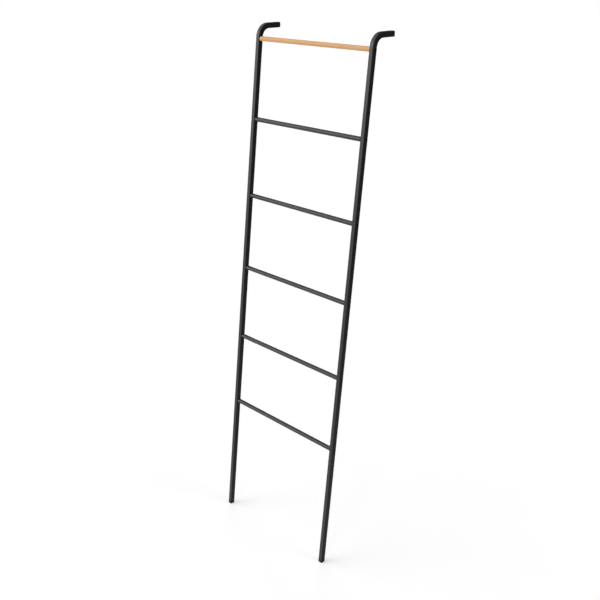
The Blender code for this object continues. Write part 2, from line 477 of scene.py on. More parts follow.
class EdgeWear(Effect):
    """Where hands and cloths have rubbed the edges of a piece."""

    NAME = "edge wear"
    INPUTS = {"Edge": 0.0, "Scale": 60.0, "Amount": 0.5}
    OUTPUTS = ("Mask",)
    BROAD = ((0.40, 0.68), (0.0, 0.75))
    FINE = ((0.35, 0.65), (0.0, 0.25))
    FINE_SCALE = 9.0
    SHARPNESS = 1.6

    @classmethod
    def draw(cls, graph: Graph, given: Sockets) -> dict[str, Socket]:
        """The edge's own mark, broken up by noise at two sizes.

        Args:
            graph: The group's nodes.
            given: The group's inputs.

        Returns:
            The mask.
        """
        where, scale = given["Vector"], given["Scale"]
        broad = graph.noise(where, scale, detail=3.0, roughness=0.6)
        fine = graph.noise(where, graph.times(scale, cls.FINE_SCALE))
        broken = graph.plus(graph.ease(broad, *cls.BROAD), graph.ramp(fine, *cls.FINE))
        rubbed = graph.times(graph.math("POWER", given["Edge"], cls.SHARPNESS), broken)
        return {"Mask": graph.times(rubbed, given["Amount"], clamp=True)}


class Handling(Effect):
    """Slow changes of gloss where a surface has been wiped and held."""

    NAME = "handling"
    INPUTS = {"Scale": 9.0, "Streak": 0.5}
    OUTPUTS = ("Mask",)
    STREAKS = ((0.3, 0.7), (-0.5, 0.5))
    STREAK_SCALE = 7.0

    @classmethod
    def draw(cls, graph: Graph, given: Sockets) -> dict[str, Socket]:
        """Broad clouds, with finer wiped streaks laid over them.

        Args:
            graph: The group's nodes.
            given: The group's inputs.

        Returns:
            The mask.
        """
        where, scale = given["Vector"], given["Scale"]
        clouds = graph.noise(where, scale, detail=4.0, roughness=0.62)
        wiped = graph.noise(where, graph.times(scale, cls.STREAK_SCALE), detail=5.0,
                            roughness=0.7)
        streaks = graph.times(graph.ramp(wiped, *cls.STREAKS), given["Streak"])
        return {"Mask": graph.plus(clouds, streaks, clamp=True)}


class SettledDust(Effect):
    """A thin veil of dust on whatever faces up."""

    NAME = "settled dust"
    INPUTS = {"Scale": 220.0, "Amount": 0.2}
    OUTPUTS = ("Mask",)
    LYING = (0.35, 1.0)
    DAPPLE = ((0.35, 0.7), (0.25, 1.0))

    @classmethod
    def draw(cls, graph: Graph, given: Sockets) -> dict[str, Socket]:
        """The upward share of the surface, dappled by noise.

        Args:
            graph: The group's nodes.
            given: The group's inputs.

        Returns:
            The mask.
        """
        normal = graph.node("NewGeometry").outputs["Normal"]
        upward = graph.node("SeparateXYZ", {"Vector": normal}).outputs["Z"]
        specks = graph.noise(given["Vector"], given["Scale"], detail=4.0, roughness=0.7)
        veil = graph.times(graph.ease(upward, cls.LYING), graph.ramp(specks, *cls.DAPPLE))
        return {"Mask": graph.times(veil, given["Amount"], clamp=True)}


class TurningMarks(Effect):
    """The fine rings of a lathe, on coordinates whose first axis is the spindle."""

    NAME = "turning marks"
    INPUTS = {"Scale": 900.0, "Thread": 1250.0}
    OUTPUTS = ("Height", "Mask")
    CLOUD_SCALE = 0.4

    @classmethod
    def draw(cls, graph: Graph, given: Sockets) -> dict[str, Socket]:
        """Rings on the faces, bands along the barrel and a dull cloud over both.

        Args:
            graph: The group's nodes.
            given: The group's inputs.

        Returns:
            The height and the cloud.
        """
        where, scale = given["Vector"], given["Scale"]
        values = {"Vector": where, "Scale": scale, "Distortion": 0.4, "Detail": 2.0}
        rings = graph.node("TexWave", values, wave_type="RINGS", rings_direction="X")
        bands = graph.node("TexWave", {**values, "Scale": given["Thread"]},
                           wave_type="BANDS", bands_direction="X", wave_profile="TRI")
        cloud = graph.noise(where, graph.times(scale, cls.CLOUD_SCALE), detail=4.0)
        return {"Height": graph.plus(rings.outputs["Fac"], bands.outputs["Fac"]),
                "Mask": cloud}


class WoodFigure(Effect):
    """Growth rings, fibres and pores, on coordinates whose first axis is the grain.

    The rings' heart lies beside the piece. Everything is drawn out along the grain.
    """

    NAME = "wood figure"
    INPUTS = {"Rings": 42.0, "Fibres": 700.0}
    OUTPUTS = ("Rings", "Fibres", "Pores", "Clouds")
    RINGS_OUT, HEART = (0.055, 1.0, 1.0), (0.0, 0.031, 0.017)
    RING_SHAPE = {"Distortion": 1.6, "Detail": 3.0, "Detail Scale": 1.3,
                  "Detail Roughness": 0.55}
    FIBRES_OUT, FIBRE_SPAN = (0.022, 1.0, 1.0), (0.25, 0.75)
    PORES_OUT, PORES_AT = (0.045, 1.0, 1.0), (0.4, 0.2, 0.1)
    PORE_SCALE, PORE_SPAN = 2.4, (0.64, 0.74)
    CLOUDS_OUT, CLOUD_SCALE = (0.3, 1, 1), 22.0

    @classmethod
    def draw(cls, graph: Graph, given: Sockets) -> dict[str, Socket]:
        """Rings, long fibres, short dashes for the pores and slow clouds.

        Args:
            graph: The group's nodes.
            given: The group's inputs.

        Returns:
            The four of them.
        """
        where = given["Vector"]
        board = graph.stretch(where, cls.RINGS_OUT, cls.HEART)
        rings = graph.node("TexWave", {"Vector": board, "Scale": given["Rings"],
                                       **cls.RING_SHAPE},
                           wave_type="RINGS", rings_direction="X", wave_profile="SAW")
        fibres = graph.noise(graph.stretch(where, cls.FIBRES_OUT), given["Fibres"],
                             detail=5.0, roughness=0.62)
        dashes = graph.noise(graph.stretch(where, cls.PORES_OUT, cls.PORES_AT),
                             graph.times(given["Fibres"], cls.PORE_SCALE), detail=1.0)
        clouds = graph.noise(graph.stretch(where, cls.CLOUDS_OUT), cls.CLOUD_SCALE,
                             detail=3.0)
        return {"Rings": rings.outputs["Fac"],
                "Fibres": graph.ramp(fibres, cls.FIBRE_SPAN),
                "Pores": graph.ease(dashes, cls.PORE_SPAN), "Clouds": clouds}


# --- Finishes ------------------------------------------------------------------


@dataclass(frozen=True)
class Finish(ABC):
    """One finish; each makes one material.

    Attributes:
        title: The material's name.
    """

    title: str

    @abstractmethod
    def dress(self, graph: Graph, where: Value) -> dict[str, Value]:
        """Draw the finish and say what goes into each of the shader's sockets."""

    def material(self, size: tuple | None = None) -> bpy.types.Material:
        """Make the material.

        Args:
            size: The piece's own size, for a finish that is drawn on the piece's
                box instead of on the frame's metres.

        Returns:
            The material.
        """
        made = bpy.data.materials.new(self.title)
        made.use_nodes = True
        graph = Graph(made.node_tree)
        spot = graph.node("TexCoord").outputs
        where = spot["Object"]
        if size:
            shift = tuple(-part / 2 for part in size)
            where = graph.stretch(spot["Generated"], size, shift)
        shader = made.node_tree.nodes["Principled BSDF"]
        for name, value in self.dress(graph, where).items():
            graph.feed(shader.inputs[name], value)
        return made


@dataclass(frozen=True)
class PowderCoat(Finish):
    """Satin black powder coat on steel.

    Attributes:
        film: Colour of the coat.
        thin: Colour where the edges are rubbed.
        dust: Colour of settled dust.
        gloss: Lowest and highest roughness.
        grain: Size of the pebbling, as texture scale.
        relief: Depth of the pebbling.
        glint: How much paler than the film its brightest points are.
        points: Share of glint in the bright points.
        polish: What rubbing takes from the roughness.
        dulling: How much dust adds to the roughness.
        ior: Index of refraction.
    """

    title: str = "satin black powder coat"
    film: Colour = (0.0150, 0.0150, 0.0154)
    thin: Colour = (0.030, 0.030, 0.031)
    dust: Colour = (0.16, 0.155, 0.145)
    gloss: Range = (0.26, 0.37)
    grain: float = 950.0
    relief: float = 0.04 * MM
    glint: float = 2.2
    points: float = 0.35
    polish: float = 0.12
    dulling: float = 2.0
    ior: float = 1.52

    def dress(self, graph: Graph, where: Value) -> dict[str, Value]:
        """Pebbled film with rubbed edges, wiped gloss and a trace of dust.

        Args:
            graph: The material's nodes.
            where: The coordinates that it is drawn on.

        Returns:
            The values of the shader's sockets.
        """
        grain = FineGrain.add(graph, where, Scale=self.grain, Pebble=0.5)
        worn = EdgeWear.add(graph, where, Edge=graph.own("edge"), Scale=48.0,
                            Amount=0.55)["Mask"]
        held = Handling.add(graph, where, Scale=11.0, Streak=0.45)["Mask"]
        dusty = SettledDust.add(graph, where, Scale=260.0, Amount=0.05)["Mask"]
        pale = tuple(self.glint * part for part in self.film)
        tint = graph.mix(graph.times(grain["Speckle"], self.points), self.film, pale)
        gloss = graph.math("SUBTRACT", graph.ramp(held, HELD_SPAN, self.gloss),
                           graph.times(worn, self.polish))
        return {
            "Base Color": graph.mix(dusty, graph.mix(worn, tint, self.thin), self.dust),
            "Roughness": graph.plus(gloss, graph.times(dusty, self.dulling), clamp=True),
            "Normal": graph.bump(grain["Height"], self.relief),
            "IOR": self.ior,
        }


@dataclass(frozen=True)
class OiledWood(Finish):
    """Pale, oiled, straight-grained hardwood.

    Attributes:
        early: Colour of the pale wood of each ring.
        late: Colour of the darker wood of each ring.
        pore: Colour of the pores.
        tip: Colour of the paler bands beyond the turned grooves.
        groove: Colour of the painted shade in the grooves, mixed in by their depth.
        ring: Share of late wood at a ring's start and end.
        thread: Darkest and brightest fibre.
        cloud: Span of the clouds that count, and the late wood that they add.
        pored: Share of the pores' colour.
        tipped: Share of the tips' colour.
        rubbed: Share of the tips' colour on rubbed edges.
        gloss: Lowest and highest roughness.
        rough_pores: What the pores add to the roughness.
        raised: Height of the fibres, next to the depth of the pores.
        relief: Depth of the pores.
        ior: Index of refraction.
    """

    title: str = "oiled light wood"
    early: Colour = (0.83, 0.465, 0.208)
    late: Colour = (0.70, 0.370, 0.143)
    pore: Colour = (0.36, 0.185, 0.080)
    tip: Colour = (0.88, 0.54, 0.24)
    groove: Colour = (0.36, 0.19, 0.085)
    ring: Range = (0.0, 0.75)
    thread: Range = (0.84, 1.10)
    cloud: tuple[Range, Range] = ((0.4, 0.7), (0.0, 0.35))
    pored: float = 0.55
    tipped: float = 0.3
    rubbed: float = 0.4
    gloss: Range = (0.40, 0.56)
    rough_pores: float = 0.2
    raised: float = 0.5
    relief: float = 0.05 * MM
    ior: float = 1.47

    def dress(self, graph: Graph, where: Value) -> dict[str, Value]:
        """Figured wood under thin oil, paler at its ends, with painted shade in its
        grooves.

        Args:
            graph: The material's nodes.
            where: The coordinates that it is drawn on.

        Returns:
            The values of the shader's sockets.
        """
        figure = WoodFigure.add(graph, where)
        worn = EdgeWear.add(graph, where, Edge=graph.own("edge"), Scale=70.0,
                            Amount=0.5)["Mask"]
        held = Handling.add(graph, where, Scale=14.0, Streak=0.6)["Mask"]
        tint = graph.mix(graph.ramp(figure["Rings"], result=self.ring), self.early,
                         self.late)
        fibre = graph.ramp(figure["Fibres"], result=self.thread)
        grey = graph.node("CombineColor", {"Red": fibre, "Green": fibre, "Blue": fibre})
        tint = graph.mix(1.0, tint, grey.outputs["Color"], "MULTIPLY")
        for share, colour in (
                (graph.ramp(figure["Clouds"], *self.cloud), self.late),
                (graph.times(figure["Pores"], self.pored), self.pore),
                (graph.times(graph.own("tip"), self.tipped), self.tip),
                # Painted shade: the grooves turn darker the deeper they are.
                (graph.own("groove"), self.groove),
                (graph.times(worn, self.rubbed), self.tip)):
            tint = graph.mix(share, tint, colour)
        relief = graph.math("SUBTRACT", graph.times(figure["Fibres"], self.raised),
                            figure["Pores"])
        return {
            "Base Color": tint,
            "Roughness": graph.plus(graph.ramp(held, HELD_SPAN, self.gloss),
                                    graph.times(figure["Pores"], self.rough_pores),
                                    clamp=True),
            "Normal": graph.bump(relief, self.relief),
            "IOR": self.ior,
        }


@dataclass(frozen=True)
class MouldedRubber(Finish):
    """Matt black rubber, as moulded.

    Attributes:
        body: Colour of the rubber.
        scuff: Colour of rubbed edges.
        points: Share of scuff in the bright points.
        gloss: Roughness in the hollows and on top of the grain.
        relief: Depth of the grain.
        ior: Index of refraction.
        sheen: Weight and roughness of the sheen.
    """

    title: str = "moulded black rubber"
    body: Colour = (0.0150, 0.0150, 0.0154)
    scuff: Colour = (0.045, 0.044, 0.042)
    points: float = 0.3
    gloss: Range = (0.78, 0.62)
    relief: float = 0.05 * MM
    ior: float = 1.50
    sheen: tuple[float, float] = (0.05, 0.5)

    def dress(self, graph: Graph, where: Value) -> dict[str, Value]:
        """A sandy moulded skin that greys where it is rubbed.

        Args:
            graph: The material's nodes.
            where: The coordinates that it is drawn on.

        Returns:
            The values of the shader's sockets.
        """
        grain = FineGrain.add(graph, where, Scale=1500.0, Pebble=0.9)
        worn = EdgeWear.add(graph, where, Edge=graph.own("edge"), Scale=90.0,
                            Amount=0.45)["Mask"]
        dusty = SettledDust.add(graph, where, Scale=300.0, Amount=0.08)["Mask"]
        tint = graph.mix(graph.times(grain["Speckle"], self.points), self.body,
                         self.scuff)
        return {
            "Base Color": graph.mix(graph.plus(worn, dusty, clamp=True), tint, self.scuff),
            "Roughness": graph.ramp(grain["Height"], result=self.gloss),
            "Normal": graph.bump(grain["Height"], self.relief),
            "IOR": self.ior,
            "Sheen Weight": self.sheen[0],
            "Sheen Roughness": self.sheen[1],
        }


@dataclass(frozen=True)
class TurnedMetal(Finish):
    """A bare, plated or blackened metal that was turned.

    Attributes:
        bright: Colour of the metal.
        dull: Colour in its duller clouds.
        gloss: Lowest and highest roughness.
        bare: Colour where the edges are rubbed.
        metal: Share of metal in the surface.
        cloud: Span of the clouds that count.
        relief: Depth of the turning marks.
    """

    bright: Colour = (0.62, 0.63, 0.65)
    dull: Colour = (0.50, 0.50, 0.48)
    gloss: Range = (0.26, 0.42)
    bare: Colour = (0.75, 0.75, 0.76)
    metal: float = 1.0
    cloud: Range = (0.35, 0.65)
    relief: float = 0.02 * MM

    def dress(self, graph: Graph, where: Value) -> dict[str, Value]:
        """Lathe rings and clouds, brighter on rubbed edges.

        Args:
            graph: The material's nodes.
            where: The coordinates that it is drawn on.

        Returns:
            The values of the shader's sockets.
        """
        marks = TurningMarks.add(graph, where)
        worn = EdgeWear.add(graph, where, Edge=graph.own("edge"), Scale=400.0,
                            Amount=0.6)["Mask"]
        cloud = graph.ease(marks["Mask"], self.cloud)
        tint = graph.mix(cloud, self.bright, self.dull)
        return {
            "Base Color": graph.mix(worn, tint, self.bare),
            "Roughness": graph.ramp(cloud, result=self.gloss),
            "Normal": graph.bump(marks["Height"], self.relief),
            "Metallic": self.metal,
        }


ZINC = TurnedMetal("bright zinc plate")
BRASS = TurnedMetal("turned brass", (0.78, 0.56, 0.25), (0.60, 0.40, 0.16),
                    (0.22, 0.40), (0.88, 0.68, 0.36))
OXIDE = TurnedMetal("black oxide", (0.030, 0.031, 0.034), (0.018, 0.018, 0.019),
                    (0.34, 0.48), (0.16, 0.16, 0.165), 0.85)


# --- The rails -----------------------------------------------------------------


@dataclass(frozen=True)
class Tube:
    """The square tube that the rails are bent from.

    Attributes:
        width: Outside width.
        wall: Wall thickness.
        corner: Outside corner radius.
        steps: Edges round each corner.
        least: Smallest radius of an inset corner.
    """

    width: float = 15.5 * MM
    wall: float = 1.5 * MM
    corner: float = 2.9 * MM
    steps: int = 10
    least: float = 0.3 * MM

    def outline(self, inset: float) -> Outline:
        """The outside outline, moved inwards by inset."""
        return rounded_square(self.width - 2 * inset,
                              max(self.corner - inset, self.least), self.steps)

    def corner_share(self, u: float, v: float) -> float:
        """How far round a corner a point of the outline is.

        Args:
            u: The point's place across the tube, from its centreline.
            v: Its place the other way.

        Returns:
            1 at the middle of a corner and 0 on the flats.
        """
        flat = self.width / 2 - self.corner
        over_u, over_v = max(0.0, abs(u) - flat), max(0.0, abs(v) - flat)
        return min(1.0, 2 * over_u * over_v / self.corner**2)


@dataclass(frozen=True)
class RailLine:
    """The centreline of one rail, seen from the side: leaning, bent, then level.

    Attributes:
        x: The rail's place across the ladder.
        bend: Centre of the bend, as (y, z).
        tip: Where the tube of the arm ends, in y.
        radius: Of the bend.
        lean: Of the straight part, from upright.
    """

    x: float
    bend: tuple[float, float]
    tip: float
    radius: float = 33 * MM
    lean: float = math.radians(6.34)

    @classmethod
    def of(cls, side: Side, tube: Tube, reach: float = 45.8 * MM) -> "RailLine":
        """Find the line of a rail from the boxes of its nodes.

        Args:
            side: Which rail.
            tube: Its tube.
            reach: Length of the level arm with its pad.

        Returns:
            The line.
        """
        low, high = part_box(f"{side.word}_rail")
        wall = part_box(f"{side.word}_wall_pad")[1].y
        above = high.z - tube.width / 2 - cls.radius
        return cls((low.x + high.x) / 2, (wall - reach, above), high.y)

    @property
    def up(self) -> Vector:
        """The direction up the straight part."""
        return Vector((0, math.sin(self.lean), math.cos(self.lean)))

    @property
    def back(self) -> Vector:
        """The direction square to the straight part, towards the wall."""
        return Vector((0, math.cos(self.lean), -math.sin(self.lean)))

    @property
    def start(self) -> Vector:
        """Where the straight part meets the bend."""
        return Vector((self.x, *self.bend)) - self.back * self.radius

    @property
    def sole(self) -> Vector:
        """Where the centreline meets the floor."""
        return self.start - self.up * (self.start.z / math.cos(self.lean))

    def along(self, point: Vector) -> float:
        """How far up the straight part a point is, from the floor."""
        return (point - self.sole).dot(self.up)

    def turn(self, angle: float) -> tuple[Vector, Vector]:
        """A station on the bend: its centre and the direction across the tube."""
        outward = Vector((0, -math.cos(angle), math.sin(angle)))
        return Vector((self.x, *self.bend)) + outward * self.radius, -outward

    def section(self, point: Vector) -> tuple[float, float]:
        """Where a point lies in the tube's section.

        Args:
            point: A point on or in the rail.

        Returns:
            Its place across the ladder and outwards from the bend, from the centreline.
        """
        off = point - Vector((self.x, *self.bend))
        angle = math.atan2(off.z, -off.y)
        if angle < self.lean:
            outwards = -off.dot(self.back)
        elif angle < math.pi / 2:
            outwards = math.hypot(off.y, off.z)
        else:
            outwards = off.z
        return point.x - self.x, outwards - self.radius


@dataclass
class BentRail:
    """One bent rail: a hollow square tube, drilled and countersunk for each rung.

    Attributes:
        side: Which rail.
        finish: Its finish.
        tube: Its tube.
        foot: What shows of the foot below the tube, along the rail.
        lip: Broken edge at the tube's ends.
        sink: Radius of a countersink at the outer face.
        bore: Radius of a screw's hole.
        rim: Straight part at the mouth of a countersink.
        ring_pitch: Longest face along the straight part.
        bend_steps: Rings in the bend.
        hole_sides: Points round a hole.
    """

    side: Side
    finish: bpy.types.Material
    tube: Tube = Tube()
    foot: float = 9 * MM
    lip: float = 0.25 * MM
    sink: float = 4.9 * MM
    bore: float = 2.8 * MM
    rim: float = 0.5 * MM
    ring_pitch: float = 45 * MM
    bend_steps: int = 36
    hole_sides: int = 64

    def holes(self, line: RailLine) -> list[Vector]:
        """The centre of every screw's hole, on the rail's centreline."""
        return [Vector((line.x, *middle(rung).yz)) for rung in RUNGS]

    def stations(self, line: RailLine) -> Iterator[tuple[Vector, Vector]]:
        """Every ring's centre and its direction across the tube, from foot to tip.

        Args:
            line: The rail's centreline.

        Yields:
            A centre and a direction.
        """
        stops = [self.foot]
        for hole in self.holes(line):
            stops += [line.along(hole) - 2 * self.sink, line.along(hole) + 2 * self.sink]
        stops[-1] = line.along(line.start)
        for low, high in zip(stops[::2], stops[1::2]):
            for reach in spread(low, high, self.ring_pitch):
                yield line.sole + line.up * reach, line.back
        for step in range(1, self.bend_steps + 1):
            yield line.turn(line.lean + (math.pi / 2 - line.lean) * step / self.bend_steps)
        yield Vector((line.x, line.tip, line.bend[1] + line.radius)), Vector((0, 0, -1))

    def shell(self, line: RailLine) -> bpy.types.Mesh:
        """The tube before it is drilled.

        Args:
            line: The rail's centreline.

        Returns:
            A closed mesh with an outside, an inside and two broken edges.
        """
        stations = list(self.stations(line))
        first, last = stations[0], stations[-1]
        inner_lip = self.tube.wall - self.lip / 2

        def ring(station: tuple[Vector, Vector], inset: float, slide: Vector) -> Ring:
            """One ring, inset and moved along the tube."""
            centre, across = station
            return place(self.tube.outline(inset), centre + slide, ACROSS, across)

        still, inwards, outwards = Vector(), line.up * self.lip, Vector((0, -self.lip, 0))
        outside = [ring(first, self.lip, still), ring(first, 0, inwards)]
        outside += [ring(station, 0, still) for station in stations[1:-1]]
        outside += [ring(last, 0, outwards), ring(last, self.lip, still)]
        inside = [ring(last, inner_lip, still)]
        inside += [ring(station, self.tube.wall, still) for station in stations[-2:0:-1]]
        inside += [ring(first, inner_lip, still)]
        return skin(f"{self.side.word}_rail", outside + inside, hollow=True)

    def drills(self, line: RailLine) -> bpy.types.Mesh:
        """The cutters of all the holes, as one mesh.

        Args:
            line: The rail's centreline.

        Returns:
            The mesh.
        """
        half = self.tube.width / 2
        cone = half - self.rim
        profile = [(-half - MM, self.bore), (cone - self.sink + self.bore, self.bore),
                   (cone, self.sink), (half + MM, self.sink)]
        cutter = turned("drill", profile, self.hole_sides)
        facing = Matrix.Rotation(0 if self.side is Side.RIGHT else math.pi, 4, "Z")
        joined = bmesh.new()
        for hole in self.holes(line):
            one = cutter.copy()
            one.transform(Matrix.Translation(hole) @ facing)
            joined.from_mesh(one)
            bpy.data.meshes.remove(one)
        drills = bpy.data.meshes.new("drills")
        joined.to_mesh(drills)
        joined.free()
        return drills

    def build(self) -> None:
        """Bend, drill, mark and show the rail."""
        line = RailLine.of(self.side, self.tube)
        blank = bpy.data.objects.new("blank", self.shell(line))
        drill = bpy.data.objects.new("drill", self.drills(line))
        for helper in (blank, drill):
            bpy.context.scene.collection.objects.link(helper)
        cut = blank.modifiers.new("screw holes", "BOOLEAN")
        cut.operation, cut.solver, cut.object = "DIFFERENCE", "EXACT", drill
        ready = blank.evaluated_get(bpy.context.evaluated_depsgraph_get())
        mesh = bpy.data.meshes.new_from_object(ready)
        mesh.name = f"{self.side.word}_rail_tube"
        for helper in (blank, drill):
            bpy.data.meshes.remove(helper.data)
        mark(mesh, "edge", lambda point: self.tube.corner_share(*line.section(point)))
        piece = Piece(mesh.name, f"{self.side.word}_rail", Slot.STEEL)
        piece.show(mesh, self.finish)


# --- The rungs -----------------------------------------------------------------


def quarter_round(radius: float, steps: int) -> Iterator[tuple[float, float]]:
    """A rounded edge.

    Args:
        radius: Of the rounding.
        steps: How many edges it has.

    Yields:
        Inset from the side and height above the flat end, from the end outwards.
    """
    for step in range(steps + 1):
        turn = math.pi / 2 * step / steps
        yield radius * (1 - math.sin(turn)), radius * (1 - math.cos(turn))


@dataclass
class Rung(ABC):
    """A round rung between the rails, turned along +X.

    Attributes:
        KIND: What it is, for the piece's name.
        SLOT: The record's material slot.
        HOLLOW: Whether it is a tube.
        SIDES: Points round it.
        node: Its name in the frame.
        finish: Its finish.
        edge: Radius of the rounded ends.
        edge_steps: Rings in a rounded end.
        reach: How much closer to the rails its ends are than the frame's.
    """

    KIND: ClassVar[str]
    SLOT: ClassVar[Slot]
    HOLLOW: ClassVar[bool]
    SIDES: ClassVar[int]

    node: str
    finish: bpy.types.Material
    edge: float = 0.15 * MM
    edge_steps: int = 4
    reach: float = 0.25 * MM

    @abstractmethod
    def profile(self, half: float, outside: float) -> Outline:
        """The (x, radius) pairs of a rung of this half length and radius."""

    def marks(self, half: float, outside: float) -> dict[str, Callable[[Vector], float]]:
        """What is stored in the mesh, from the rung's half length and radius."""
        return {"edge": lambda point: max(
            0.0, 1 - (half - abs(point.x)) / (self.edge * 4))}

    def build(self) -> None:
        """Turn, mark and show the rung."""
        low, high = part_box(self.node)
        half, outside = (high.x - low.x) / 2 + self.reach, (high.z - low.z) / 2
        name = f"{self.node}_{self.KIND}"
        mesh = turned(name, self.profile(half, outside), self.SIDES, self.HOLLOW)
        for title, amount in self.marks(half, outside).items():
            mark(mesh, title, amount)
        spot = Matrix.Translation(middle(self.node))
        Piece(name, self.node, self.SLOT).show(mesh, self.finish, spot)


@dataclass
class SteelRung(Rung):
    """One of the round steel rungs.

    Attributes:
        wall: Wall thickness of its tube.
        ring_pitch: Longest face along the rung.
    """

    KIND, SLOT, HOLLOW, SIDES = "bar", Slot.STEEL, True, 72

    wall: float = 1.2 * MM
    ring_pitch: float = 30 * MM

    def profile(self, half: float, outside: float) -> Outline:
        """A plain tube with rounded ends.

        Args:
            half: Half of the rung's length.
            outside: Its radius.

        Returns:
            (x, radius) pairs.
        """
        bore = outside - self.wall
        rounded = list(quarter_round(self.edge, self.edge_steps))
        between = spread(-half + self.edge, half - self.edge, self.ring_pitch)[1:-1]
        return [*((slide - half, outside - inset) for inset, slide in rounded),
                *((x, outside) for x in between),
                *((half - slide, outside - inset) for inset, slide in reversed(rounded)),
                (half, bore), (-half, bore)]


@dataclass
class WoodenRung(Rung):
    """The wooden rung: a turned dowel with a fine groove near each end.

    Attributes:
        band: From each end to the groove.
        groove: Width of the groove.
        depth: Depth of the groove.
        groove_steps: Rings in a groove.
        socket: Radius of the blind bore that takes the insert.
        socket_depth: Its depth.
        ring_pitch: Longest face along the rung.
    """

    KIND, SLOT, HOLLOW, SIDES = "dowel", Slot.WOOD, False, 96

    band: float = 10 * MM
    groove: float = 0.9 * MM
    depth: float = 0.4 * MM
    groove_steps: int = 6
    socket: float = 4.3 * MM
    socket_depth: float = 20 * MM
    ring_pitch: float = 12 * MM

    def profile(self, half: float, outside: float) -> Outline:
        """From the bottom of one bore out over the rung to the bottom of the other.

        Args:
            half: Half of the rung's length.
            outside: Its radius.

        Returns:
            (x, radius) pairs.
        """
        line, bottom = half - self.band, half - self.socket_depth
        pairs = [(bottom - MM, MM), (bottom, self.socket), (half, self.socket)]
        pairs += [(half - slide, outside - inset)
                  for inset, slide in quarter_round(self.edge, self.edge_steps)]
        pairs += [(line + self.groove * 0.8, outside)]
        for step in range(self.groove_steps + 1):
            turn = math.pi * step / self.groove_steps
            pairs.append((line + self.groove / 2 * math.cos(turn),
                          outside - self.depth * math.sin(turn)))
        pairs += [(line - self.groove * 0.8, outside)]
        inner = spread(0, line - self.groove * 2, self.ring_pitch)[::-1]
        pairs += [(x, outside) for x in inner]
        return pairs + [(-x, radius) for x, radius in reversed(pairs[:-1])]

    def marks(self, half: float, outside: float) -> dict[str, Callable[[Vector], float]]:
        """The rounded ends, the bands beyond the grooves and the grooves' depth, which the
        wood darkens as painted shade.

        Args:
            half: Half of the rung's length.
            outside: Its radius.

        Returns:
            A function of a place on the surface for each mark, by name.
        """
        line = half - self.band

        def deep(point: Vector) -> float:
            """How deep in a groove a point is, from 0 to 1."""
            if abs(abs(point.x) - line) > self.groove * 0.7:
                return 0.0
            return (outside - math.hypot(point.y, point.z)) / self.depth

        # The groove mark is the grooves' depth; the wood's finish turns it into painted
        # shade.
        return {**super().marks(half, outside),
                "tip": lambda point: float(abs(point.x) > line), "groove": deep}


# --- Caps ----------------------------------------------------------------------


@dataclass
class EndCap(ABC):
    """A push-in rubber cap in the end of a rail.

    Attributes:
        side: Which rail.
        finish: Its finish.
        tube: The rail's tube.
        edge: Radius of the rounded edge that meets the floor or the wall.
        gap: Between the cap and the tube.
        length: What shows of the cap.
        lip: Broken edge of the shoulder that meets the tube.
        edge_steps: Rings in the rounded edge.
        tread: Inset and height of the rings that make the ribs, in millimetres.
    """

    side: Side
    finish: bpy.types.Material
    tube: Tube = Tube()
    edge: float = 1.55 * MM
    gap: float = 0.3 * MM
    length: float = 9 * MM
    lip: float = 0.25 * MM
    edge_steps: int = 8
    tread: ClassVar[tuple[tuple[float, float], ...]] = (
        (6.4, 0.5), (6.2, 0.0), (5.3, 0.0), (5.1, 0.5), (4.6, 0.5), (4.4, 0.0),
        (3.5, 0.0), (3.3, 0.5), (2.8, 0.5), (2.6, 0.0),
    )

    @abstractmethod
    def build(self) -> None:
        """Build, mark and show the cap."""

    def face(self) -> Iterator[tuple[float, float]]:
        """The face that meets the floor or the wall.

        Yields:
            Inset and height of every ring.
        """
        for inset, height in self.tread:
            yield inset * MM, height * MM
        yield from quarter_round(self.edge, self.edge_steps)

    def plug(self, end: Vector, inwards: Vector, along: Vector,
             steps: tuple[tuple[float, float], ...]) -> list[Ring]:
        """The shoulder and the plug inside the tube.

        Args:
            end: Centre of the tube's end.
            inwards: Into the tube.
            along: The direction across the tube.
            steps: Inset and depth of the rings inside the tube.

        Returns:
            The rings.
        """
        shoulder = ((0.0, -self.gap - self.lip), (self.lip, -self.gap))
        return [place(self.tube.outline(inset), end + inwards * depth, ACROSS, along)
                for inset, depth in (*shoulder, *steps)]

    def edge_share(self, height: float, u: float, v: float) -> float:
        """How close a point is to an edge of the cap, from 0 to 1.

        Args:
            height: Above the floor, or out of the wall.
            u: Across the tube.
            v: The other way across.

        Returns:
            The share.
        """
        rounding = min(1.0, max(0.0, height / self.edge))
        return max(self.tube.corner_share(u, v), 4 * rounding * (1 - rounding))


@dataclass
class RubberFoot(EndCap):
    """The foot of a rail: a level ribbed sole and a plug that leans with the rail.

    Attributes:
        plug_length: What goes into the tube.
        chamfer: Broken edge at the plug's end.
    """

    plug_length: float = 16 * MM
    chamfer: float = 0.8 * MM

    def build(self) -> None:
        """Build, mark and show the foot."""
        line = RailLine.of(self.side, self.tube)
        slant = 1 / math.cos(line.lean)
        level = Vector((0, slant, 0))
        rings = [place(self.tube.outline(inset), line.sole + line.up * height * slant,
                       ACROSS, level) for inset, height in self.face()]
        seat = self.tube.wall + self.gap
        rings += self.plug(line.sole + line.up * self.length, line.up, line.back, (
            (seat, -self.gap), (seat, self.plug_length - self.chamfer),
            (seat + self.chamfer, self.plug_length)))
        mesh = skin(f"{self.side.word}_foot_cap", rings)
        mark(mesh, "edge", lambda point: self.edge_share(point.z, *line.section(point)))
        piece = Piece(mesh.name, f"{self.side.word}_foot", Slot.RUBBER)
        piece.show(mesh, self.finish)


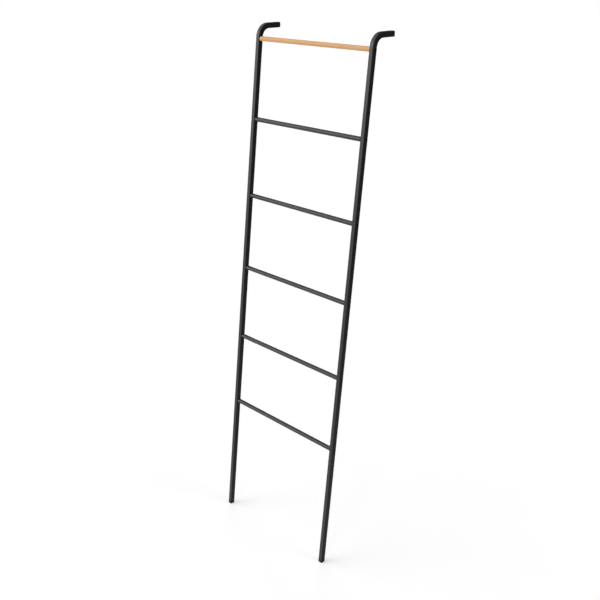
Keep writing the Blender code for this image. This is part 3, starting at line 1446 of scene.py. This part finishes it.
@dataclass
class WallPad(EndCap):
    """The pad at the end of an arm: a flat ribbed face and a plug that fills the arm.

    Attributes:
        taper: How much narrower the inner end of the plug is.
    """

    taper: float = 1.5 * MM

    def build(self) -> None:
        """Build, mark and show the pad."""
        line = RailLine.of(self.side, self.tube)
        node = f"{self.side.word}_wall_pad"
        low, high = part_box(node)
        centre = Vector((line.x, high.y, (low.z + high.z) / 2))
        back, down = Vector((0, -1, 0)), Vector((0, 0, -1))
        rings = [place(self.tube.outline(inset), centre + back * height, ACROSS, down)
                 for inset, height in self.face()]
        seat = self.tube.wall + self.gap
        outer = line.radius + self.tube.width / 2 - self.tube.wall
        narrowing = math.sqrt(outer**2 - (outer - self.taper) ** 2)
        depth = high.y - self.length - low.y
        rings += self.plug(centre + back * self.length, back, down, (
            (seat, -self.gap), (seat, depth - narrowing), (seat + self.taper, depth)))
        mesh = skin(f"{node}_cap", rings)
        mark(mesh, "edge", lambda point: self.edge_share(
            high.y - point.y, point.x - line.x, point.z - centre.z))
        Piece(mesh.name, node, Slot.RUBBER).show(mesh, self.finish)


# --- Fixings -------------------------------------------------------------------


@dataclass
class RungScrews:
    """The countersunk screws with hexagon sockets that hold the rungs.

    Attributes:
        finish: Their finish.
        head: Radius of the head.
        shank: Radius over the thread.
        root: Radius at the root of the thread.
        pitch: Of the thread.
        rim: Straight part above the cone.
        key: Socket, over its flats.
        key_depth: Depth of the socket.
        thread: Where the thread starts, from the head.
        tip: Chamfer at the far end.
        chamfer: Broken edges of the head and the socket.
        sides: Points round a screw.
    """

    finish: bpy.types.Material
    head: float = 4.6 * MM
    shank: float = 2.5 * MM
    root: float = 2.15 * MM
    pitch: float = 0.8 * MM
    rim: float = 0.3 * MM
    key: float = 3.0 * MM
    key_depth: float = 1.8 * MM
    thread: float = 12 * MM
    tip: float = 0.8 * MM
    chamfer: float = 0.2 * MM
    sides: int = 60

    def mesh(self, length: float) -> bpy.types.Mesh:
        """One screw along +X, with the face of its head at the origin.

        Args:
            length: Over all.

        Returns:
            The mesh.
        """
        chamfer, seat = self.chamfer, self.key_depth
        socket = hexagon(self.key, self.sides)
        mouth = self.key / 2 / math.cos(math.pi / 6)
        profile = [
            (seat + 0.6 * MM, 0.3 * MM), (seat, self.key / 2 - chamfer),
            (seat, socket), (chamfer, socket), (0, mouth + chamfer / 2),
            (0, self.head - chamfer), (chamfer, self.head), (self.rim, self.head),
            (self.rim + self.head - self.shank, self.shank),
        ]
        turns = int((length - self.tip - self.thread) / self.pitch)
        for turn in range(turns):
            x = self.thread + turn * self.pitch
            profile += [(x, self.shank), (x + 0.4 * self.pitch, self.root),
                        (x + 0.5 * self.pitch, self.root),
                        (x + 0.9 * self.pitch, self.shank)]
        profile += [(length - self.tip, self.shank), (length, self.shank - self.tip)]
        made = turned("countersunk_screw", profile, self.sides)
        mark(made, "edge", lambda point: float(
            point.x < 2 * chamfer and math.hypot(point.y, point.z) > mouth * 0.98))
        return made

    def build(self) -> None:
        """Show a screw at both ends of every rung."""
        low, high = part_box(f"{RUNGS[0]}_screw_left")
        mesh = self.mesh(high.x - low.x)
        for rung in RUNGS:
            for side in Side:
                node = f"{rung}_screw_{side.word}"
                low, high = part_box(node)
                face = low.x if side is Side.LEFT else high.x
                spot = Matrix.Translation((face, *middle(node).yz))
                facing = Matrix.Rotation(0 if side is Side.LEFT else math.pi, 4, "Z")
                piece = Piece(f"{rung}_bolt_{side.word}", node, Slot.OXIDE)
                piece.show(mesh, self.finish, spot @ facing)


@dataclass
class ThreadedInserts:
    """The threaded inserts inside the ends of the rungs, which keep their frame shapes.

    Attributes:
        nodes: The frame's nodes, by name.
        size: Length and widths of an insert.
    """

    nodes: dict[str, bpy.types.Object]
    size: tuple[float, float, float] = (16 * MM, 9 * MM, 9 * MM)

    def dress(self) -> None:
        """Give every insert its finish."""
        zinc, brass = ZINC.material(self.size), BRASS.material(self.size)
        for name, node in self.nodes.items():
            if "_insert_" not in name:
                continue
            finish = brass if name.startswith("wooden") else zinc
            for socket in node.material_slots:
                socket.material = finish
            log.info("%s: %s", name, finish.name)


# --- The studio ----------------------------------------------------------------


def toward(graph: Graph, looking: Value, direction: Direction) -> Socket:
    """How much a ray looks in a direction, from -1 to 1."""
    axis = tuple(Vector(direction).normalized())
    return graph.node("VectorMath", {0: looking, 1: axis},
                      operation="DOT_PRODUCT").outputs["Value"]


@dataclass(frozen=True)
class Sun:
    """One soft far light, which isn't mirrored in the object.

    Attributes:
        name: Its name.
        strength: How strong it is.
        width: How wide it looks, in degrees.
        direction: Where it stands, seen from the object.
    """

    name: str
    strength: float
    width: float
    direction: Direction

    def build(self) -> None:
        """Hang the light."""
        light = bpy.data.lights.new(self.name, "SUN")
        light.energy, light.angle = self.strength, math.radians(self.width)
        lamp = bpy.data.objects.new(self.name, light)
        lamp.rotation_euler = Vector(self.direction).to_track_quat("Z", "Y").to_euler()
        lamp.visible_glossy = False
        bpy.context.scene.collection.objects.link(lamp)


@dataclass(frozen=True)
class Softbox:
    """A soft bright patch of the surroundings.

    Attributes:
        direction: Where its middle lies.
        focus: How fast it fades round its middle.
        strength: How bright its middle is.
    """

    direction: Direction
    focus: float
    strength: float

    def glow(self, graph: Graph, looking: Value) -> Socket:
        """What a ray sees of it."""
        off = graph.math("SUBTRACT", toward(graph, looking, self.direction), 1.0)
        return graph.times(graph.math("POWER", math.exp(self.focus), off), self.strength)


@dataclass(frozen=True)
class Studio:
    """A plain pale floor under soft light, and the camera.

    Attributes:
        spot: Where the camera stands.
        swing: How far round the object it stands, from straight in front.
        dip: How far down it looks.
        lens: Focal length in millimetres.
        sensor: Width of the sensor in millimetres.
        clip: The nearest and the farthest that the camera sees.
        window: The brightest patch of the surroundings.
        sky: A wide patch above the window.
        haze: How bright the rest of the lit part is.
        lowest: How bright the darkest part is.
        front: A direction, and the span of it over which the lit part begins.
        left: The same for its left edge.
        band: Spans of height over which a band of low light fades out and in.
        band_left: How bright that band is to the left.
        band_right: How bright that band is to the right.
        suns: The far lights, which give the object its shadows.
        floor_size: Length and width of the floor.
        floor_greys: The two greys that cloud the floor.
        floor_clouds: Size of the clouds, as texture scale.
        floor_lift: Light of the floor's own, as the camera sees it.
        floor_spill: Share of that light which falls on the object.
    """

    spot: Direction = (1.68105, -1.67997, 1.78512)
    swing: float = math.radians(45.007)
    dip: float = math.radians(22.502)
    lens: float = 50.0
    sensor: float = 36.0
    clip: Range = (0.05, 200.0)
    window: Softbox = Softbox((-0.65, -0.72, 0.26), 32.0, 2.8)
    sky: Softbox = Softbox((-0.53, -0.59, 0.61), 4.0, 1.2)
    haze: float = 0.40
    lowest: float = 0.05
    front: tuple[Direction, Range] = ((-0.67, -0.74, 0), (-0.08, 0.30))
    left: tuple[Direction, Range] = ((-1, 0, 0), (-0.12, 0.42))
    band: tuple[Range, Range] = ((-0.60, -0.34), (-0.82, -0.62))
    band_left: float = 0.7
    band_right: float = 0.32
    suns: tuple[Sun, ...] = (
        Sun("left light", 0.50, 60, (-0.60, -0.75, 1.20)),
        Sun("right light", 0.55, 25, (1.10, 0.31, 1.00)),
        Sun("front light", 0.25, 8, (0.42, -0.90, 0.80)),
        Sun("back light", 0.35, 20, (-0.70, 0.70, 1.60)),
    )
    floor_size: float = 60.0
    floor_greys: Range = (0.69, 0.71)
    floor_clouds: float = 3.0
    floor_lift: float = 0.465
    floor_spill: float = 0.6

    def floor(self) -> None:
        """A pale floor that isn't mirrored in the object."""
        half = self.floor_size / 2
        corners = [Vector((x, y, 0)) for x, y in ((-1, -1), (1, -1), (1, 1), (-1, 1))]
        mesh = bpy.data.meshes.new("studio_floor")
        mesh.from_pydata([corner * half for corner in corners], [], [(0, 1, 2, 3)])
        material = bpy.data.materials.new("pale floor")
        material.use_nodes = True
        graph = Graph(material.node_tree)
        material.node_tree.nodes.clear()
        clouds = graph.noise(graph.node("TexCoord").outputs["Object"], self.floor_clouds)
        dark, pale = ((grey, grey, grey) for grey in self.floor_greys)
        matt = graph.node("BsdfDiffuse", {"Color": graph.mix(clouds, dark, pale)})
        seen = graph.node("LightPath").outputs["Is Camera Ray"]
        strength = graph.ramp(
            seen, result=(self.floor_spill * self.floor_lift, self.floor_lift))
        lift = graph.node("Emission", {"Color": WHITE, "Strength": strength})
        both = graph.node("AddShader", {0: matt.outputs[0], 1: lift.outputs[0]})
        graph.node("OutputMaterial", {"Surface": both.outputs[0]})
        mesh.materials.append(material)
        floor = bpy.data.objects.new("studio_floor", mesh)
        floor.visible_glossy = False
        bpy.context.scene.collection.objects.link(floor)

    def glow(self, graph: Graph, looking: Value) -> Socket:
        """What the object sees of the surroundings: light in front and to the left.

        Args:
            graph: The world's nodes.
            looking: The direction of a ray.

        Returns:
            The strength of the light.
        """
        front, left = (graph.ease(toward(graph, looking, direction), span)
                       for direction, span in (self.front, self.left))
        shown = graph.plus(self.window.glow(graph, looking),
                           graph.plus(self.sky.glow(graph, looking), self.haze))
        height = toward(graph, looking, (0, 0, 1))
        fading_out, fading_in = self.band
        band = graph.times(graph.ease(height, fading_out, (1.0, 0.0)),
                           graph.ease(height, fading_in))
        ahead = graph.times(front, graph.plus(shown, graph.times(band, self.band_left)))
        beside = graph.times(graph.math("SUBTRACT", 1.0, left),
                             graph.times(band, self.band_right))
        return graph.plus(graph.plus(graph.times(left, ahead), beside), self.lowest)

    def surroundings(self) -> None:
        """White to the camera, and soft light to the object."""
        world = bpy.data.worlds.new("studio")
        bpy.context.scene.world = world
        world.use_nodes = True
        graph = Graph(world.node_tree)
        world.node_tree.nodes.clear()
        glow = self.glow(graph, graph.node("TexCoord").outputs["Generated"])
        lit = graph.node("Background", {"Color": WHITE, "Strength": glow})
        white = graph.node("Background", {"Color": WHITE, "Strength": 1.0})
        seen = graph.node("LightPath").outputs["Is Camera Ray"]
        both = graph.node("MixShader", {0: seen, 1: lit.outputs[0], 2: white.outputs[0]})
        graph.node("OutputWorld", {"Surface": both.outputs[0]})

    def camera(self) -> None:
        """The camera in front, to the right, looking down."""
        data = bpy.data.cameras.new("camera")
        data.lens, data.sensor_width = self.lens, self.sensor
        data.clip_start, data.clip_end = self.clip
        camera = bpy.data.objects.new("camera", data)
        back = Vector((math.sin(self.swing) * math.cos(self.dip),
                       -math.cos(self.swing) * math.cos(self.dip), math.sin(self.dip)))
        camera.location = self.spot
        camera.rotation_euler = (-back).to_track_quat("-Z", "Y").to_euler()
        bpy.context.scene.collection.objects.link(camera)
        bpy.context.scene.camera = camera

    def build(self) -> None:
        """Set up the floor, the lights and the camera."""
        self.floor()
        self.surroundings()
        for sun in self.suns:
            sun.build()
        self.camera()
        bpy.context.scene.view_settings.view_transform = "Standard"


def main() -> None:
    """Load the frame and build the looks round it."""
    logging.basicConfig(level=logging.INFO, format="%(message)s")
    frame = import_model()
    coat = PowderCoat().material()
    rubber = MouldedRubber().material()
    for side in Side:
        BentRail(side, coat).build()
        RubberFoot(side, rubber).build()
        WallPad(side, rubber).build()
    for rung in STEEL_RUNGS:
        SteelRung(rung, coat).build()
    WoodenRung(RUNGS[-1], OiledWood().material()).build()
    RungScrews(OXIDE.material()).build()
    ThreadedInserts(frame["nodes"]).dress()
    Studio().build()


if __name__ == "__main__":
    main()
